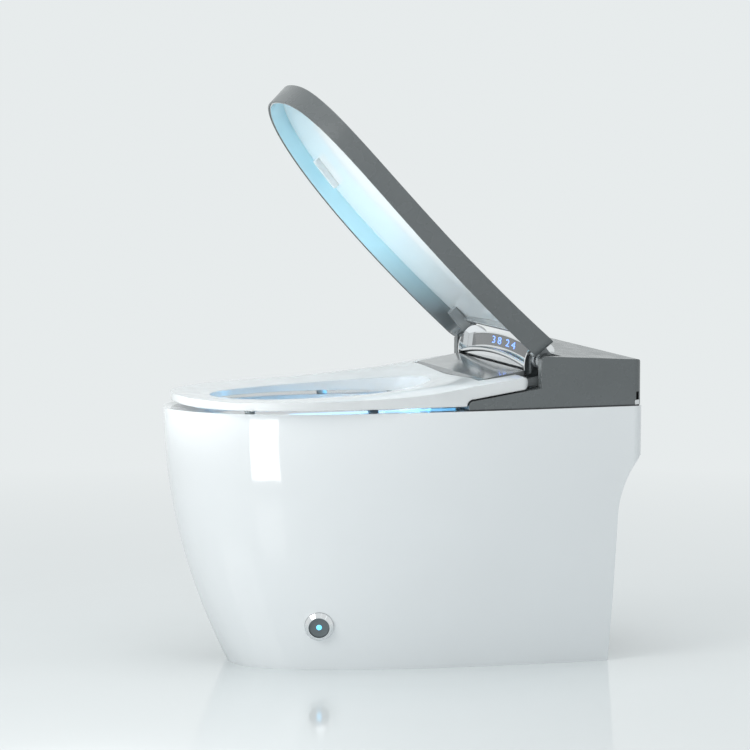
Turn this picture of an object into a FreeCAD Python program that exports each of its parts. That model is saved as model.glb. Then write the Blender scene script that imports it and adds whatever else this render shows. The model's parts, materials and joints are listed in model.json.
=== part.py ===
import FreeCAD, Part
import math
import os

import Sketcher
from FreeCAD import Placement, Rotation, Vector

# A floor-standing smart toilet: ceramic pan, rear housing, hinged lid and seat, wash and dryer units.
# The frame has +Z up and the front towards -Y. The origin is on the floor, under the middle.

# Driving sizes in millimetres, angles in degrees
SIZES = {
    # Pan
    "body_length": 690, "rim_width": 396, "floor_width": 344, "rim_height": 388,
    "toe_setback": 98, "heel_setback": 47, "rear_corner": 16, "skirt_wall": 12, "deck_thickness": 16,
    "notch_depth": 40, "notch_lip": 4, "notch_waist": 216, "notch_top": 313,
    "service_width": 220, "service_height": 230,
    "bowl_front_rim": 43, "bowl_rear_rim": 275, "bowl_width": 236, "bowl_wall": 12,
    "sump_length": 64, "sump_width": 60, "sump_height": 70, "sump_lead": 175,
    "trap_bore": 51, "trap_wall": 8.5, "trap_bend": 40, "trap_crest": 165, "trap_leg_gap": 4, "trap_step": 3,
    "rough_in": 305, "wall_gap": 15, "outlet_lift": 6, "seal_width": 20, "seal_height": 24,
    # Common fits
    "running_gap": 0.05, "slide_gap": 0.1, "seat_gap": 0.3, "cut_past": 1, "rim_past": 35,
    # Foot switch
    "switch_setback": 198, "switch_height": 68, "spot_depth": 2, "bezel_radius": 21.7,
    "bezel_proud": 8, "bezel_bevel": 5, "sleeve_radius": 18, "sleeve_length": 38, "button_radius": 15.5,
    "button_length": 19, "button_recess": 3, "button_bevel": 1, "switch_travel": 3, "stud_radius": 3,
    "light_radius": 4.1, "light_depth": 2, "light_dome": 0.9, "cap_length": 9, "plunger_gap": 1,
    "spring_radius": 10, "spring_wire": 1.4, "spring_turns": 4, "nut_radius": 26, "nut_length": 8,
    "nut_seat": 1, "nut_room": 2,
    # Rear housing
    "gasket_thickness": 2, "gasket_inset": 3, "cover_inset": 2, "cover_wall": 3.5,
    "tongue_reach": 277, "tongue_tip_rise": 4, "shoulder_run": 9, "shoulder_rise": 13,
    "tongue_rear_rise": 28.5, "cheek_setback": 164, "cheek_rise": 72, "cheek_bevel": 6,
    "cover_front_rise": 76.5, "cover_rear_rise": 68, "cover_round": 8, "cheek_width": 15.5,
    "pocket_rise": 29, "plug_width": 9, "plug_height": 7, "slot_height": 12, "plug_setback": 10,
    "tray_floor": 3, "tray_reach": 241, "tray_rear_gap": 14, "tray_side_gap": 10,
    "bolt_x": 115, "bolt_setback": 195, "bolt_radius": 4, "bolt_head": 7, "bolt_length": 36,
    "nut_half": 10.5,
    # Apron in front of the console
    "apron_reach": 269, "apron_nose_rise": 15, "nose_run": 16, "nose_slope": 7.5, "nose_lift": 1,
    "apron_step": 23.5, "apron_step_rise": 36, "apron_top_rise": 41, "apron_lead": 6.5, "apron_end_rise": 52,
    "apron_wall": 3, "slot_gap": 1.5,
    # Console on the hinge line
    "console_half": 149, "trim_width": 3.8, "arch_top": 94, "arch_low": 50, "arch_sag": 12,
    "lip_front": 26, "lip_back": 22, "lip_round": 4, "trim_bevel": 5,
    "window_low": 72, "window_low_back": 15, "window_top_back": 12, "lens_half": 124,
    "lens_thickness": 2.5, "lens_margin": 2, "bezel_wall": 4, "board_half": 90, "board_thickness": 1.6,
    "trim_front": 29, "trim_low": 30, "trim_low_run": 18, "trim_top": 95, "trim_top_run": 15,
    # Hinge
    "hinge_setback": 145, "hinge_rise": 68, "hinge_room": 19, "shaft_radius": 5,
    "shaft_socket": 8, "shaft_end": 8, "lid_arm_radius": 13, "lid_arm_width": 10, "arm_gap": 4,
    "lid_arm_run": 64, "lid_arm_low": 2, "seat_arm_radius": 12, "seat_arm_width": 10,
    "seat_arm_run": 32, "seat_arm_lift": 4.5, "drive_lead": 6, "drive_width": 60, "drive_depth": 56,
    "drive_height": 30, "drive_boss": 9, "drive_boss_length": 14,
    # Lid
    "lid_rest_angle": 50.6, "lid_half": 190, "lid_front_gap": 10, "lid_rear_gap": 2.5, "lid_corner": 12,
    "lid_flare": 0.1, "lid_wall": 2.6, "lid_crown": 7, "lid_rear_height": 34.5, "lid_mid_height": 31,
    "lid_front_height": 26.5, "lid_notch_run": 16, "lid_notch_lift": 10,
    "liner_thickness": 1.8, "liner_recess": 1.2,
    "bumper_length": 56, "bumper_width": 7, "bumper_height": 9, "bumper_setback": 152, "bumper_inset": 30,
    # Seat
    "seat_half": 190, "seat_front_gap": 18, "seat_rise": 7, "seat_front_height": 29,
    "seat_rear_height": 53, "seat_sag": 11.5, "seat_end": 37, "seat_end_round": 10, "seat_wall": 3,
    "seat_over_tongue": 2.5, "seat_bridge_gap": 2.5, "seat_below_line": 2, "seat_front_drop": 1.5,
    "seat_open_front": 71, "seat_open_rear": 275, "seat_open_width": 212, "seat_dish": 7, "seat_edge_drop": 4,
    "seat_floor": 2.5, "heater_thickness": 0.8, "heater_inset": 6, "heater_rear_gap": 16,
    "buffer_radius": 8, "buffer_bevel": 1,
    "front_buffer_x": 104, "front_buffer_setback": 100, "rear_buffer_x": 126, "rear_buffer_setback": 405,
    # Wash nozzle
    "nozzle_angle": 15, "nozzle_radius": 5.5, "nozzle_length": 168, "nozzle_rise": 6.6, "nozzle_park": 5,
    "nozzle_tip_length": 16, "nozzle_bevel": 2, "guide_wall": 3, "guide_start": 28, "guide_length": 110,
    "foot_width": 14, "foot_inset": 13, "motor_radius": 14, "motor_length": 20,
    # Dryer
    "fan_x": 74, "fan_setback": 75, "fan_radius": 36, "fan_height": 31, "fan_wall": 3,
    "rotor_radius": 26, "rotor_height": 14, "rotor_hub": 7, "blade_count": 14, "blade_thickness": 1.6,
    "blade_gap": 4, "axle_radius": 3, "fan_motor_radius": 15, "fan_motor_height": 7, "duct_width": 36,
    "duct_height": 16, "duct_wall": 2,
    # Water and power
    "heater_width": 70, "heater_length": 62, "heater_height": 52, "heater_x": 148, "module_setback": 16,
    "pump_radius": 26, "pump_length": 62, "pump_x": 76, "pump_base": 4,
    "valve_x": 136, "valve_width": 46, "valve_length": 76, "valve_height": 28, "inlet_setback": 83,
    "coil_setback": 40,
    "inlet_radius": 10.48, "inlet_shank": 11.5, "inlet_bore": 6.5, "inlet_drop": 78, "inlet_thread": 14,
    "inlet_collar": 15, "hose_radius": 11, "hose_bore": 8, "hose_bend": 30, "hose_drop": 60,
    "hose_setback": 45, "hole_gap": 4, "power_width": 70, "power_length": 60, "power_height": 36,
    "control_lift": 6, "post_radius": 3, "post_inset": 7,
    "gland_x": 120, "gland_rise": 16, "gland_radius": 8, "gland_bore": 3.5, "gland_length": 7,
    "light_bar_half": 34, "light_bar_height": 5, "light_bar_depth": 4, "light_bar_x": 62,
    "light_bar_lift": 1,
}
# Powers that set how full the front of each outline is: tip, then side
RIM_POWERS = (3.5, 2.0)
FLOOR_POWERS = (2.48, 2.41)
SEAT_POWERS = (4.8, 2.4)
# How fast the bowl opens out: all round, and more slowly at its rear, over the trapway
BOWL_POWER = 1.2
BOWL_REAR_POWER = 1.7
# How fast the seat's hollow fades outwards from its opening
DISH_FADE = 2.2
# How late the seat's top falls away towards its outer edge
EDGE_POWER = 3
# Where the middle of a tongue's round nose lies between its ends: along, then up
NOSE_SHARES = (0.234, 0.707)
OUTLINE_STEPS = 7
SKIRT_STEPS = 4
BOWL_STEPS = 5
RING_STEPS = 16
SPRING_STEPS = 10
# Points across and along a curved surface: on each side of the middle, and in all
GRID_X = 4
GRID_Y = 12
# The kind of corner where two straight lengths of a swept pipe meet
MITRE = 1
# A reach past the whole object, and one past a single wall, for the tools that cut
FAR = 900
NEAR = 90

# Places on the object as formulas of the sizes
REAR = "(body_length / 2)"
FRONT = "(0 - body_length / 2)"
BASE = "(rim_height + gasket_thickness)"
TRAY_TOP = "(rim_height + gasket_thickness + tray_floor)"
HINGE_Y = "(body_length / 2 - hinge_setback)"
HINGE_Z = "(rim_height + hinge_rise)"
OUTLET_Y = "(body_length / 2 + wall_gap - rough_in)"
SUMP_Y = "(body_length / 2 + wall_gap - rough_in - sump_lead)"
SEAT_OPEN_Y = "((seat_open_front - seat_open_rear) / 2)"
SEAT_OPEN_HALF = "((body_length - seat_open_front - seat_open_rear) / 2)"
TRAP_RADIUS = "(trap_bore / 2 + trap_wall)"
COVER_HALF = "(rim_width / 2 - cover_inset)"
COVER_IN = "(console_half + cut_past)"
CHEEK_IN = "(rim_width / 2 - cover_inset - cheek_width)"
FAN_Y = "(body_length / 2 - fan_setback)"
INLET_Y = "(body_length / 2 - inlet_setback)"
HOSE_Y = "(body_length / 2 - hose_setback)"
BOLT_Y = "(body_length / 2 - bolt_setback)"
LID_ARM_IN = "(console_half + arm_gap)"
SEAT_ARM_IN = "(console_half + arm_gap + lid_arm_width + arm_gap)"

DOC = FreeCAD.newDocument("smart_toilet")
SHEET = DOC.addObject("Spreadsheet::Sheet", "Sizes")
for row, (alias, value) in enumerate(SIZES.items(), start=1):
    SHEET.set(f"A{row}", alias)
    SHEET.set(f"B{row}", str(value))
    SHEET.setAlias(f"B{row}", alias)
DOC.recompute()
NODES = []


def num(formula):
    """The value of a formula of sizes."""
    return float(SHEET.evalExpression(formula))


def bound(formula):
    """The same formula with every size named as a cell of the sheet."""
    words = formula.replace("(", " ( ").replace(")", " ) ").split()
    return " ".join(f"Sizes.{word}" if word in SIZES else word for word in words)


def node(name, obj):
    """Names a finished sub-part and keeps it for export."""
    obj.Label = name
    NODES.append(obj)
    return obj


def solid_node(name, shape, placement=None):
    """A sub-part whose shape is worked out from the sheet in code."""
    obj = DOC.addObject("Part::Feature", name)
    obj.Shape = shape
    if placement is not None:
        obj.Placement = placement
    return node(name, obj)


# Bound primitives, booleans and bodies
def box(name, xs, ys, zs):
    obj = DOC.addObject("Part::Box", name)
    for prop, axis, (low, high) in (("Length", "x", xs), ("Width", "y", ys), ("Height", "z", zs)):
        obj.setExpression(prop, bound(f"({high}) - ({low})"))
        obj.setExpression(f"Placement.Base.{axis}", bound(low))
    return obj


TURNS = {
    "x": Rotation(Vector(0, 1, 0), 90),
    "y": Rotation(Vector(1, 0, 0), -90),
    "z": Rotation(),
}


def place(obj, spot):
    """Binds an object's place to three formulas."""
    for axis, formula in zip("xyz", spot):
        obj.setExpression(f"Placement.Base.{axis}", bound(formula))


def rod(name, axis, spot, radius, length):
    obj = DOC.addObject("Part::Cylinder", name)
    obj.setExpression("Radius", bound(radius))
    obj.setExpression("Height", bound(length))
    obj.Placement.Rotation = TURNS[axis]
    place(obj, spot)
    return obj


def fuse(name, *shapes):
    obj = DOC.addObject("Part::MultiFuse", name)
    obj.Shapes = list(shapes)
    return obj


def cut(name, base, *tools):
    obj = DOC.addObject("Part::Cut", name)
    obj.Base = base
    obj.Tool = tools[0] if len(tools) == 1 else fuse(name + "_tools", *tools)
    return obj


def sketch_in(body, role, points):
    """A closed outline of straight lines, each corner bound to two formulas."""
    sketch = body.newObject("Sketcher::SketchObject", body.Name + "_outline")
    plane = next(item for item in body.Origin.OriginFeatures if item.Role == role)
    sketch.AttachmentSupport = (plane, [""])
    sketch.MapMode = "FlatFace"
    spots = [Vector(num(across), num(along), 0) for across, along in points]
    count = len(spots)
    for index in range(count):
        sketch.addGeometry(Part.LineSegment(spots[index], spots[(index + 1) % count]), False)
    for index in range(count):
        sketch.addConstraint(Sketcher.Constraint("Coincident", index, 2, (index + 1) % count, 1))
    for index, pair in enumerate(points):
        for kind, formula in zip(("DistanceX", "DistanceY"), pair):
            rule = sketch.addConstraint(Sketcher.Constraint(kind, -1, 1, index, 1, num(formula)))
            sketch.setExpression(f"Constraints[{rule}]", bound(formula))
    return sketch


def turned(name, points, axis="z", spot=None):
    """A body of revolution from radius and height pairs, set along an axis of the object."""
    body = DOC.addObject("PartDesign::Body", name)
    sketch = sketch_in(body, "XZ_Plane", points)
    turn = body.newObject("PartDesign::Revolution", name + "_turn")
    turn.Profile = sketch
    turn.ReferenceAxis = (sketch, ["V_Axis"])
    turn.Angle = 360
    body.Placement.Rotation = TURNS[axis]
    if spot is not None:
        place(body, spot)
    return body


def padded(name, role, points, length, spot=("0", "0", "0")):
    """A body padded from an outline on one of its own planes."""
    body = DOC.addObject("PartDesign::Body", name)
    sketch = sketch_in(body, role, points)
    pad = body.newObject("PartDesign::Pad", name + "_pad")
    pad.Profile = sketch
    pad.setExpression("Length", bound(length))
    place(body, spot)
    return body


# Shapes that no primitive gives
def path_wire(path, spot):
    """A closed wire; an entry made of two points is an arc through the first to the second."""
    edges = []
    here = spot(path[0])
    for step in path[1:] + path[:1]:
        curved = isinstance(step[0], tuple)
        end = spot(step[1] if curved else step)
        edge = Part.Arc(here, spot(step[0]), end) if curved else Part.LineSegment(here, end)
        edges.append(edge.toShape())
        here = end
    return Part.Wire(edges)


def side_prism(path, low, high):
    """A prism along X from a path of (Y, Z) points."""
    wire = path_wire(path, lambda point: Vector(low, point[0], point[1]))
    return Part.Face(wire).extrude(Vector(high - low, 0, 0))


def front_prism(path, low, high):
    """A prism along Y from a path of (X, Z) points."""
    wire = path_wire(path, lambda point: Vector(point[0], low, point[1]))
    return Part.Face(wire).extrude(Vector(0, high - low, 0))


def block(xs, ys, zs):
    size = Vector(xs[1] - xs[0], ys[1] - ys[0], zs[1] - zs[0])
    return Part.makeBox(size.x, size.y, size.z, Vector(xs[0], ys[0], zs[0]))


def both_sides(shape):
    """A shape and its mirror image across the middle plane."""
    return [shape, shape.mirror(Vector(0, 0, 0), Vector(1, 0, 0))]


def plan_wire(half, front, rear, corner, powers, z):
    """An outline seen from above: a full rounded front and a straight rear with round corners."""
    tip, side = powers
    points = []
    for step in range(-OUTLINE_STEPS, OUTLINE_STEPS + 1):
        share = (step / OUTLINE_STEPS) ** 2
        x = half * (1 - (1 - share) ** tip) ** (1 / side)
        points.append(Vector(math.copysign(x, step), front + share * (rear - corner - front), z))
    curve = Part.BSplineCurve()
    curve.interpolate(points)
    bend = corner * (1 - math.sqrt(0.5))
    right = Vector(half - corner, rear, z)
    left = Vector(corner - half, rear, z)
    edges = [
        curve,
        Part.Arc(points[-1], Vector(half - bend, rear - bend, z), right),
        Part.LineSegment(right, left),
        Part.Arc(left, Vector(bend - half, rear - bend, z), points[0]),
    ]
    return Part.Wire([edge.toShape() for edge in edges])


def ring_wire(middle_y, half_x, half_y, z):
    """A smooth oval."""
    angles = [2 * math.pi * step / RING_STEPS for step in range(RING_STEPS)]
    points = [Vector(half_x * math.cos(a), middle_y + half_y * math.sin(a), z) for a in angles]
    curve = Part.BSplineCurve()
    curve.interpolate(points, PeriodicFlag=True)
    return Part.Wire([curve.toShape()])


def region(height, rise):
    """The space above a smooth surface, or below it when the rise is negative."""
    half = num("rim_width / 2 + rim_past")
    xs = [half * step / GRID_X for step in range(-GRID_X, GRID_X + 1)]
    start = num(FRONT + " - rim_past")
    length = num("body_length")
    ys = [start + length * step / GRID_Y for step in range(GRID_Y + 1)]
    surface = Part.BSplineSurface()
    surface.interpolate([[Vector(x, y, height(x, y)) for y in ys] for x in xs])
    return surface.toShape().extrude(Vector(0, 0, rise))


# Ceramic pan
def skirt_form(inset, low, high):
    """The pan's outer form between two heights, or the space inside its wall when inset."""
    wires = []
    for step in range(SKIRT_STEPS + 1):
        z = low + (high - low) * step / SKIRT_STEPS
        lean = (1 - z / num("rim_height")) ** 2
        half = num("rim_width / 2") - num("(rim_width - floor_width) / 2") * lean - inset
        front = num(FRONT) + num("toe_setback") * lean + inset
        powers = [rim + (floor - rim) * lean for rim, floor in zip(RIM_POWERS, FLOOR_POWERS)]
        wires.append(plan_wire(half, front, num(REAR) - inset, num("rear_corner") - inset, powers, z))
    return Part.makeLoft(wires, True, False)


def notch_form(inset):
    """The space behind the pan's recessed back, moved inwards by the wall when inset."""
    heel = num(REAR + " - heel_setback") - inset
    waist = num(REAR + " - notch_depth") - inset
    lip = num(REAR + " - notch_lip") - inset
    low = num("notch_waist")
    top = num("notch_top") + inset
    radius = ((lip - waist) ** 2 + (top - low) ** 2) / (2 * (lip - waist))
    half_turn = math.asin((top - low) / radius) / 2
    middle = (waist + radius * (1 - math.cos(half_turn)), low + radius * math.sin(half_turn))
    path = [(FAR, -FAR), (heel, -FAR), (heel, 0), (waist, low), (middle, (lip, top)), (FAR, top)]
    return side_prism(path, -FAR, FAR)


def bowl_form(grow):
    """The bowl's inner space, or its outer form when grown by the wall."""
    wires = []
    floor = num("sump_height") - grow
    sump_front = num(SUMP_Y + " - sump_length / 2") - grow
    sump_rear = num(SUMP_Y + " + sump_length / 2") + grow
    rim_front = num(FRONT + " + bowl_front_rim") - grow
    rim_rear = num(REAR + " - bowl_rear_rim") + grow
    for step in range(BOWL_STEPS + 1):
        share = step / BOWL_STEPS
        swell = math.sin(math.pi / 2 * share) ** BOWL_POWER
        half_x = num("sump_width / 2") + num("(bowl_width - sump_width) / 2") * swell + grow
        front = sump_front + (rim_front - sump_front) * swell
        rear = sump_rear + (rim_rear - sump_rear) * share ** BOWL_REAR_POWER
        level = floor + (num("rim_height") - floor) * share
        wires.append(ring_wire((front + rear) / 2, half_x, (rear - front) / 2, level))
    return Part.makeLoft(wires, True, False)


def trap_pipe(radius):
    """A round pipe along the trapway: back from the sump, up, over the crest and down."""
    start = num(SUMP_Y)
    level = num("sump_height + trap_bore / 2 + trap_step")
    bend = num("trap_bend")
    crest = num("trap_crest")
    turn = num(TRAP_RADIUS + " + trap_leg_gap / 2")
    down = num(OUTLET_Y)
    rise = down - 2 * turn
    slant = bend * math.sqrt(0.5)

    def spot(y, z):
        return Vector(0, y, z)

    edges = [
        Part.LineSegment(spot(start, level), spot(rise - bend, level)),
        Part.Arc(
            spot(rise - bend, level),
            spot(rise - bend + slant, level + bend - slant),
            spot(rise, level + bend),
        ),
        Part.LineSegment(spot(rise, level + bend), spot(rise, crest)),
        Part.Arc(spot(rise, crest), spot(rise + turn, crest + turn), spot(down, crest)),
        Part.LineSegment(spot(down, crest), spot(down, num("outlet_lift"))),
    ]
    spine = Part.Wire([edge.toShape() for edge in edges])
    ring = Part.Wire([Part.Circle(spot(start, level), Vector(0, 1, 0), radius).toShape()])
    return spine.makePipeShell([ring], True, False)


def skin_spot(shape, y, z):
    """The point on the near side of a solid, at a given place along it."""
    ray = Part.makeLine(Vector(0, y, z), Vector(FAR, y, z))
    return Vector(shape.common(ray).BoundBox.XMax, y, z)


def switch_frame(shape):
    """A frame on the skirt's skin, with its Z axis square to the skin, for the foot switch."""
    y = num(FRONT + " + switch_setback")
    z = num("switch_height")
    reach = num("sleeve_radius")
    along = skin_spot(shape, y + reach, z) - skin_spot(shape, y - reach, z)
    rise = skin_spot(shape, y, z + reach) - skin_spot(shape, y, z - reach)
    return Placement(skin_spot(shape, y, z), Rotation(Vector(0, 0, 1), along.cross(rise)))


def switch_tools(frame):
    """The hole for the foot switch and the flat seats for its flange and nut."""
    flange = -num("spot_depth")
    nut = -num("skirt_wall - nut_seat")
    tools = [
        Part.makeCylinder(num("sleeve_radius + seat_gap"), 2 * NEAR, Vector(0, 0, -NEAR)),
        Part.makeCylinder(num("bezel_radius + seat_gap"), NEAR, Vector(0, 0, flange)),
        Part.makeCylinder(num("nut_radius + nut_room"), NEAR / 2, Vector(0, 0, nut), Vector(0, 0, -1)),
    ]
    for tool in tools:
        tool.Placement = frame.multiply(tool.Placement)
    return tools


def deck_hole(x, y, radius):
    z = num("rim_height - 2 * deck_thickness")
    return Part.makeCylinder(radius, num("3 * deck_thickness"), Vector(x, y, z))


def make_pan():
    outer = skirt_form(0, 0, num("rim_height"))
    bowl_outer = bowl_form(num("bowl_wall"))
    bore = trap_pipe(num("trap_bore / 2"))
    frame = switch_frame(outer)
    wall = num("skirt_wall")
    past = num("cut_past")
    under_deck = num("rim_height - deck_thickness")
    cavity = skirt_form(wall, -past, under_deck).cut(notch_form(wall))
    service_x = num("service_width / 2")
    service = block((-service_x, service_x), (num(HINGE_Y), FAR), (-past, num("service_height")))
    holes = [
        deck_hole(num("valve_x"), num(INLET_Y), num("inlet_collar + hole_gap")),
        deck_hole(-num("pump_x"), num(HOSE_Y), num("hose_radius + hole_gap")),
    ]
    for side in (-1, 1):
        holes.append(deck_hole(side * num("bolt_x"), num(BOLT_Y), num("bolt_radius + slide_gap")))
    tools = [notch_form(0), cavity, bowl_outer, service] + holes + switch_tools(frame)
    ceramic = outer.cut(tools)
    for name, span in (("pan_deck", (under_deck, FAR)), ("pan_skirt", (-FAR, under_deck))):
        solid_node(name, ceramic.common(block((-FAR, FAR), (-FAR, FAR), span)))
    solid_node("pan_bowl", bowl_outer.cut([bowl_form(0), bore]))
    solid_node("pan_trapway", trap_pipe(num(TRAP_RADIUS)).cut([bore, bowl_outer]))
    inner = TRAP_RADIUS + " + seat_gap"
    ring = [
        (inner, "0"), (inner + " + seal_width", "0"), (inner + " + seal_width / 2", "seal_height"),
        (inner, "seal_height"),
    ]
    node("drain_seal", turned("drain_seal", ring, spot=("0", OUTLET_Y, "0")))
    return frame, bowl_outer


# Foot switch, in the frame of its place on the skirt
def make_foot_switch(frame):
    bore = "(button_radius + slide_gap)"
    back = "(0 - sleeve_length)"
    flange = "(0 - spot_depth)"
    face = "(bezel_proud - button_recess)"
    heel = "(bezel_proud - button_recess - button_length)"
    pocket = "(bezel_proud - button_recess - light_depth)"
    cap_top = "(cap_length - sleeve_length)"
    nut_face = "(nut_seat - skirt_wall)"
    nut_bore = "(sleeve_radius + slide_gap)"
    stud_tip = heel + " - switch_travel - plunger_gap"
    pieces = {
        "foot_switch_bezel": [
            (bore, back), ("sleeve_radius", back), ("sleeve_radius", flange), ("bezel_radius", flange),
            ("bezel_radius", "bezel_proud - bezel_bevel"), ("bezel_radius - bezel_bevel", "bezel_proud"),
            (bore, "bezel_proud"),
        ],
        "foot_switch_button": [
            ("0", heel), ("button_radius", heel), ("button_radius", face + " - button_bevel"),
            ("button_radius - button_bevel", face), ("light_radius + slide_gap", face),
            ("light_radius + slide_gap", pocket), ("0", pocket),
        ],
        "foot_switch_light": [
            ("0", pocket), ("light_radius", pocket), ("light_radius", face),
            ("light_radius / 2", face + " + light_dome"), ("0", face + " + light_dome"),
        ],
        "foot_switch_cap": [
            ("0", back), ("button_radius", back), ("button_radius", cap_top), ("stud_radius", cap_top),
            ("stud_radius", stud_tip), ("0", stud_tip),
        ],
        "foot_switch_nut": [
            (nut_bore, nut_face + " - nut_length"), ("nut_radius", nut_face + " - nut_length"),
            ("nut_radius", nut_face), (nut_bore, nut_face),
        ],
    }
    for name, points in pieces.items():
        body = turned(name, points)
        body.Placement = frame
        node(name, body)
    solid_node("foot_switch_spring", coil(num(cap_top), num(heel)), frame)


def coil(floor, ceiling):
    """The return spring between two heights, as a wire in short straight lengths."""
    lift = num("spring_wire / 2 + seat_gap")
    low = floor + lift
    rise = ceiling - lift - low
    count = int(num("spring_turns")) * SPRING_STEPS
    points = []
    for step in range(count + 1):
        turn = 2 * math.pi * step / SPRING_STEPS
        reach = num("spring_radius")
        points.append(Vector(reach * math.cos(turn), reach * math.sin(turn), low + rise * step / count))
    ring = Part.Wire([Part.Circle(points[0], points[1] - points[0], num("spring_wire / 2")).toShape()])
    return Part.makePolygon(points).makePipeShell([ring], True, False, MITRE)


# Rear housing
def plan_prism(inset, low, high):
    """The rim's outline as an upright prism, moved inwards by the inset."""
    half = num("rim_width / 2") - inset
    corner = num("rear_corner") - inset
    wire = plan_wire(half, num(FRONT) + inset, num(REAR) - inset, corner, RIM_POWERS, low)
    return Part.Face(wire).extrude(Vector(0, 0, high - low))


def tongue_nose(inset):
    """Start, middle and end of the round nose of a side tongue, as (Y, Z) points."""
    tip = num(REAR + " - tongue_reach") + inset
    low = num(BASE + " + tongue_tip_rise")
    run = num("shoulder_run")
    rise = num("shoulder_rise - tongue_tip_rise") - inset
    along, up = NOSE_SHARES
    return (tip, low), (tip + run * along, low + rise * up), (tip + run, low + rise)


def cover_form(inset):
    """The rear cover's outer form, or the space inside its wall when inset."""
    base = num(BASE)
    edge = num("cover_inset") + inset
    floor = base - (num("gasket_thickness") if inset else 0)
    start, swell, shoulder = tongue_nose(inset)
    cheek = num(REAR + " - cheek_setback") + inset
    bevel = num("cheek_bevel")
    rear = num(REAR) - edge
    turn = num("cover_round")
    bend = turn * (1 - math.sqrt(0.5))
    top_rear = base + num("cover_rear_rise") - inset
    path = [
        (start[0], floor), start, (swell, shoulder),
        (cheek, base + num("tongue_rear_rise") - inset),
        (cheek, base + num("cheek_rise") - inset),
        (cheek + bevel, base + num("cover_front_rise") - inset),
        (rear - turn, top_rear), ((rear - bend, top_rear - bend), (rear, top_rear - turn)), (rear, floor),
    ]
    return plan_prism(edge, floor, floor + FAR).common(side_prism(path, -FAR, FAR))


def make_cover():
    wall = num("cover_wall")
    past = num("cut_past")
    gap = num("seat_gap")
    half = num(COVER_IN)
    cheek_in = num(CHEEK_IN)
    cheek = num(REAR + " - cheek_setback")
    y = num(HINGE_Y)
    back = y + num("hinge_room")
    floor = num(BASE + " + pocket_rise")
    middle = block((-half, half), (-FAR, back), (0, FAR))
    pockets = both_sides(block((half - past, cheek_in), (cheek - past, back), (floor, FAR)))
    keep = [block((-half - wall, half + wall), (-FAR, back + wall), (0, FAR))]
    keep += both_sides(block((half, FAR), (-FAR, back + wall), (floor - wall, FAR)))
    inner = cover_form(wall).cut(keep)
    middle_space = block((-half, half), (back - past, back + 2 * wall), (0, num(HINGE_Z) + gap))
    bores = []
    for side in (-1, 1):
        start = Vector(side * (cheek_in - past), y, num(HINGE_Z))
        depth = num("shaft_end") + past + gap
        bores.append(Part.makeCylinder(num("shaft_radius + running_gap"), depth, start, Vector(side, 0, 0)))
    gland = Part.makeCylinder(
        num("gland_radius") + gap, NEAR,
        Vector(-num("gland_x"), num(REAR) - 3 * wall, num(BASE + " + gland_rise")), Vector(0, 1, 0),
    )
    tools = [middle, inner, middle_space, gland] + pockets + bores + plug_slot(gap, True)
    solid_node("rear_cover", cover_form(0).cut(tools))


def plug_slot(gap, with_slot):
    """The opening at the cover's rear corner that takes the service plug."""
    x = num(COVER_HALF + " - rear_corner")
    y = num(REAR + " - plug_setback")
    low = num(BASE)
    high = low + num("plug_height") + gap
    half = num("plug_width / 2") + gap
    past = num("cut_past")
    tools = [block((x, FAR), (y - half, y + half), (low - past, high))]
    if with_slot:
        slot = (high - past, high + num("slot_height"))
        tools.append(block((x, FAR), (y - half / 2, y + half / 2), slot))
    return tools


def make_service_plug():
    inset = num("cover_inset")
    inner = plan_prism(inset + num("cover_wall"), 0, FAR)
    outer = plan_prism(inset, 0, FAR)
    ring = plug_slot(0, False)[0].common(outer).cut(inner)
    low = block((-FAR, FAR), (-FAR, FAR), (0, num(BASE)))
    solid_node("service_plug", ring.cut(low))


def t_plate(front_half, rear_half, front, step, rear):
    """Corners of a plate that is wider behind the hinge pockets."""
    half = [(front_half, front), (front_half, step), (rear_half, step), (rear_half, rear)]
    return half + [(f"0 - {x}", y) for x, y in reversed(half)]


def make_tray():
    step = HINGE_Y + " + hinge_room + 2 * cover_wall"
    outline = t_plate(
        "(console_half - 2 * cover_wall)", "(" + COVER_HALF + " - tray_side_gap)",
        REAR + " - tray_reach", step, REAR + " - cover_inset - tray_rear_gap",
    )
    plate = padded("tray_plate", "XY_Plane", outline, "tray_floor", ("0", "0", BASE))
    low = BASE + " - tray_floor"
    deep = "3 * tray_floor"
    holes = [
        rod("tray_inlet_hole", "z", ("valve_x", INLET_Y, low), "inlet_collar + seat_gap", deep),
        rod("tray_hose_hole", "z", ("0 - pump_x", HOSE_Y, low), "hose_radius + seat_gap", deep),
    ]
    for side, sign in (("left", "0 - "), ("right", "0 + ")):
        spot = (sign + "bolt_x", BOLT_Y, low)
        holes.append(rod(f"tray_bolt_hole_{side}", "z", spot, "bolt_radius + slide_gap", deep))
    node("chassis_tray", cut("chassis_tray", plate, *holes))


def make_gasket():
    low = num("rim_height")
    high = num(BASE)
    front = num(REAR + " - tongue_reach + gasket_inset - cover_inset")
    nose = num(REAR + " - apron_reach + gasket_inset - cover_inset")
    half = num("console_half")
    sheet = plan_prism(num("gasket_inset"), low, high).common(block((-FAR, FAR), (front, FAR), (0, FAR)))
    tools = [
        block((-half, half), (-FAR, nose), (0, FAR)),
        deck_hole(num("valve_x"), num(INLET_Y), num("inlet_collar + hole_gap")),
        deck_hole(-num("pump_x"), num(HOSE_Y), num("hose_radius + hole_gap")),
    ]
    for side in (-1, 1):
        tools.append(deck_hole(side * num("bolt_x"), num(BOLT_Y), num("bolt_radius + slide_gap")))
    solid_node("deck_gasket", sheet.cut(tools))


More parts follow.
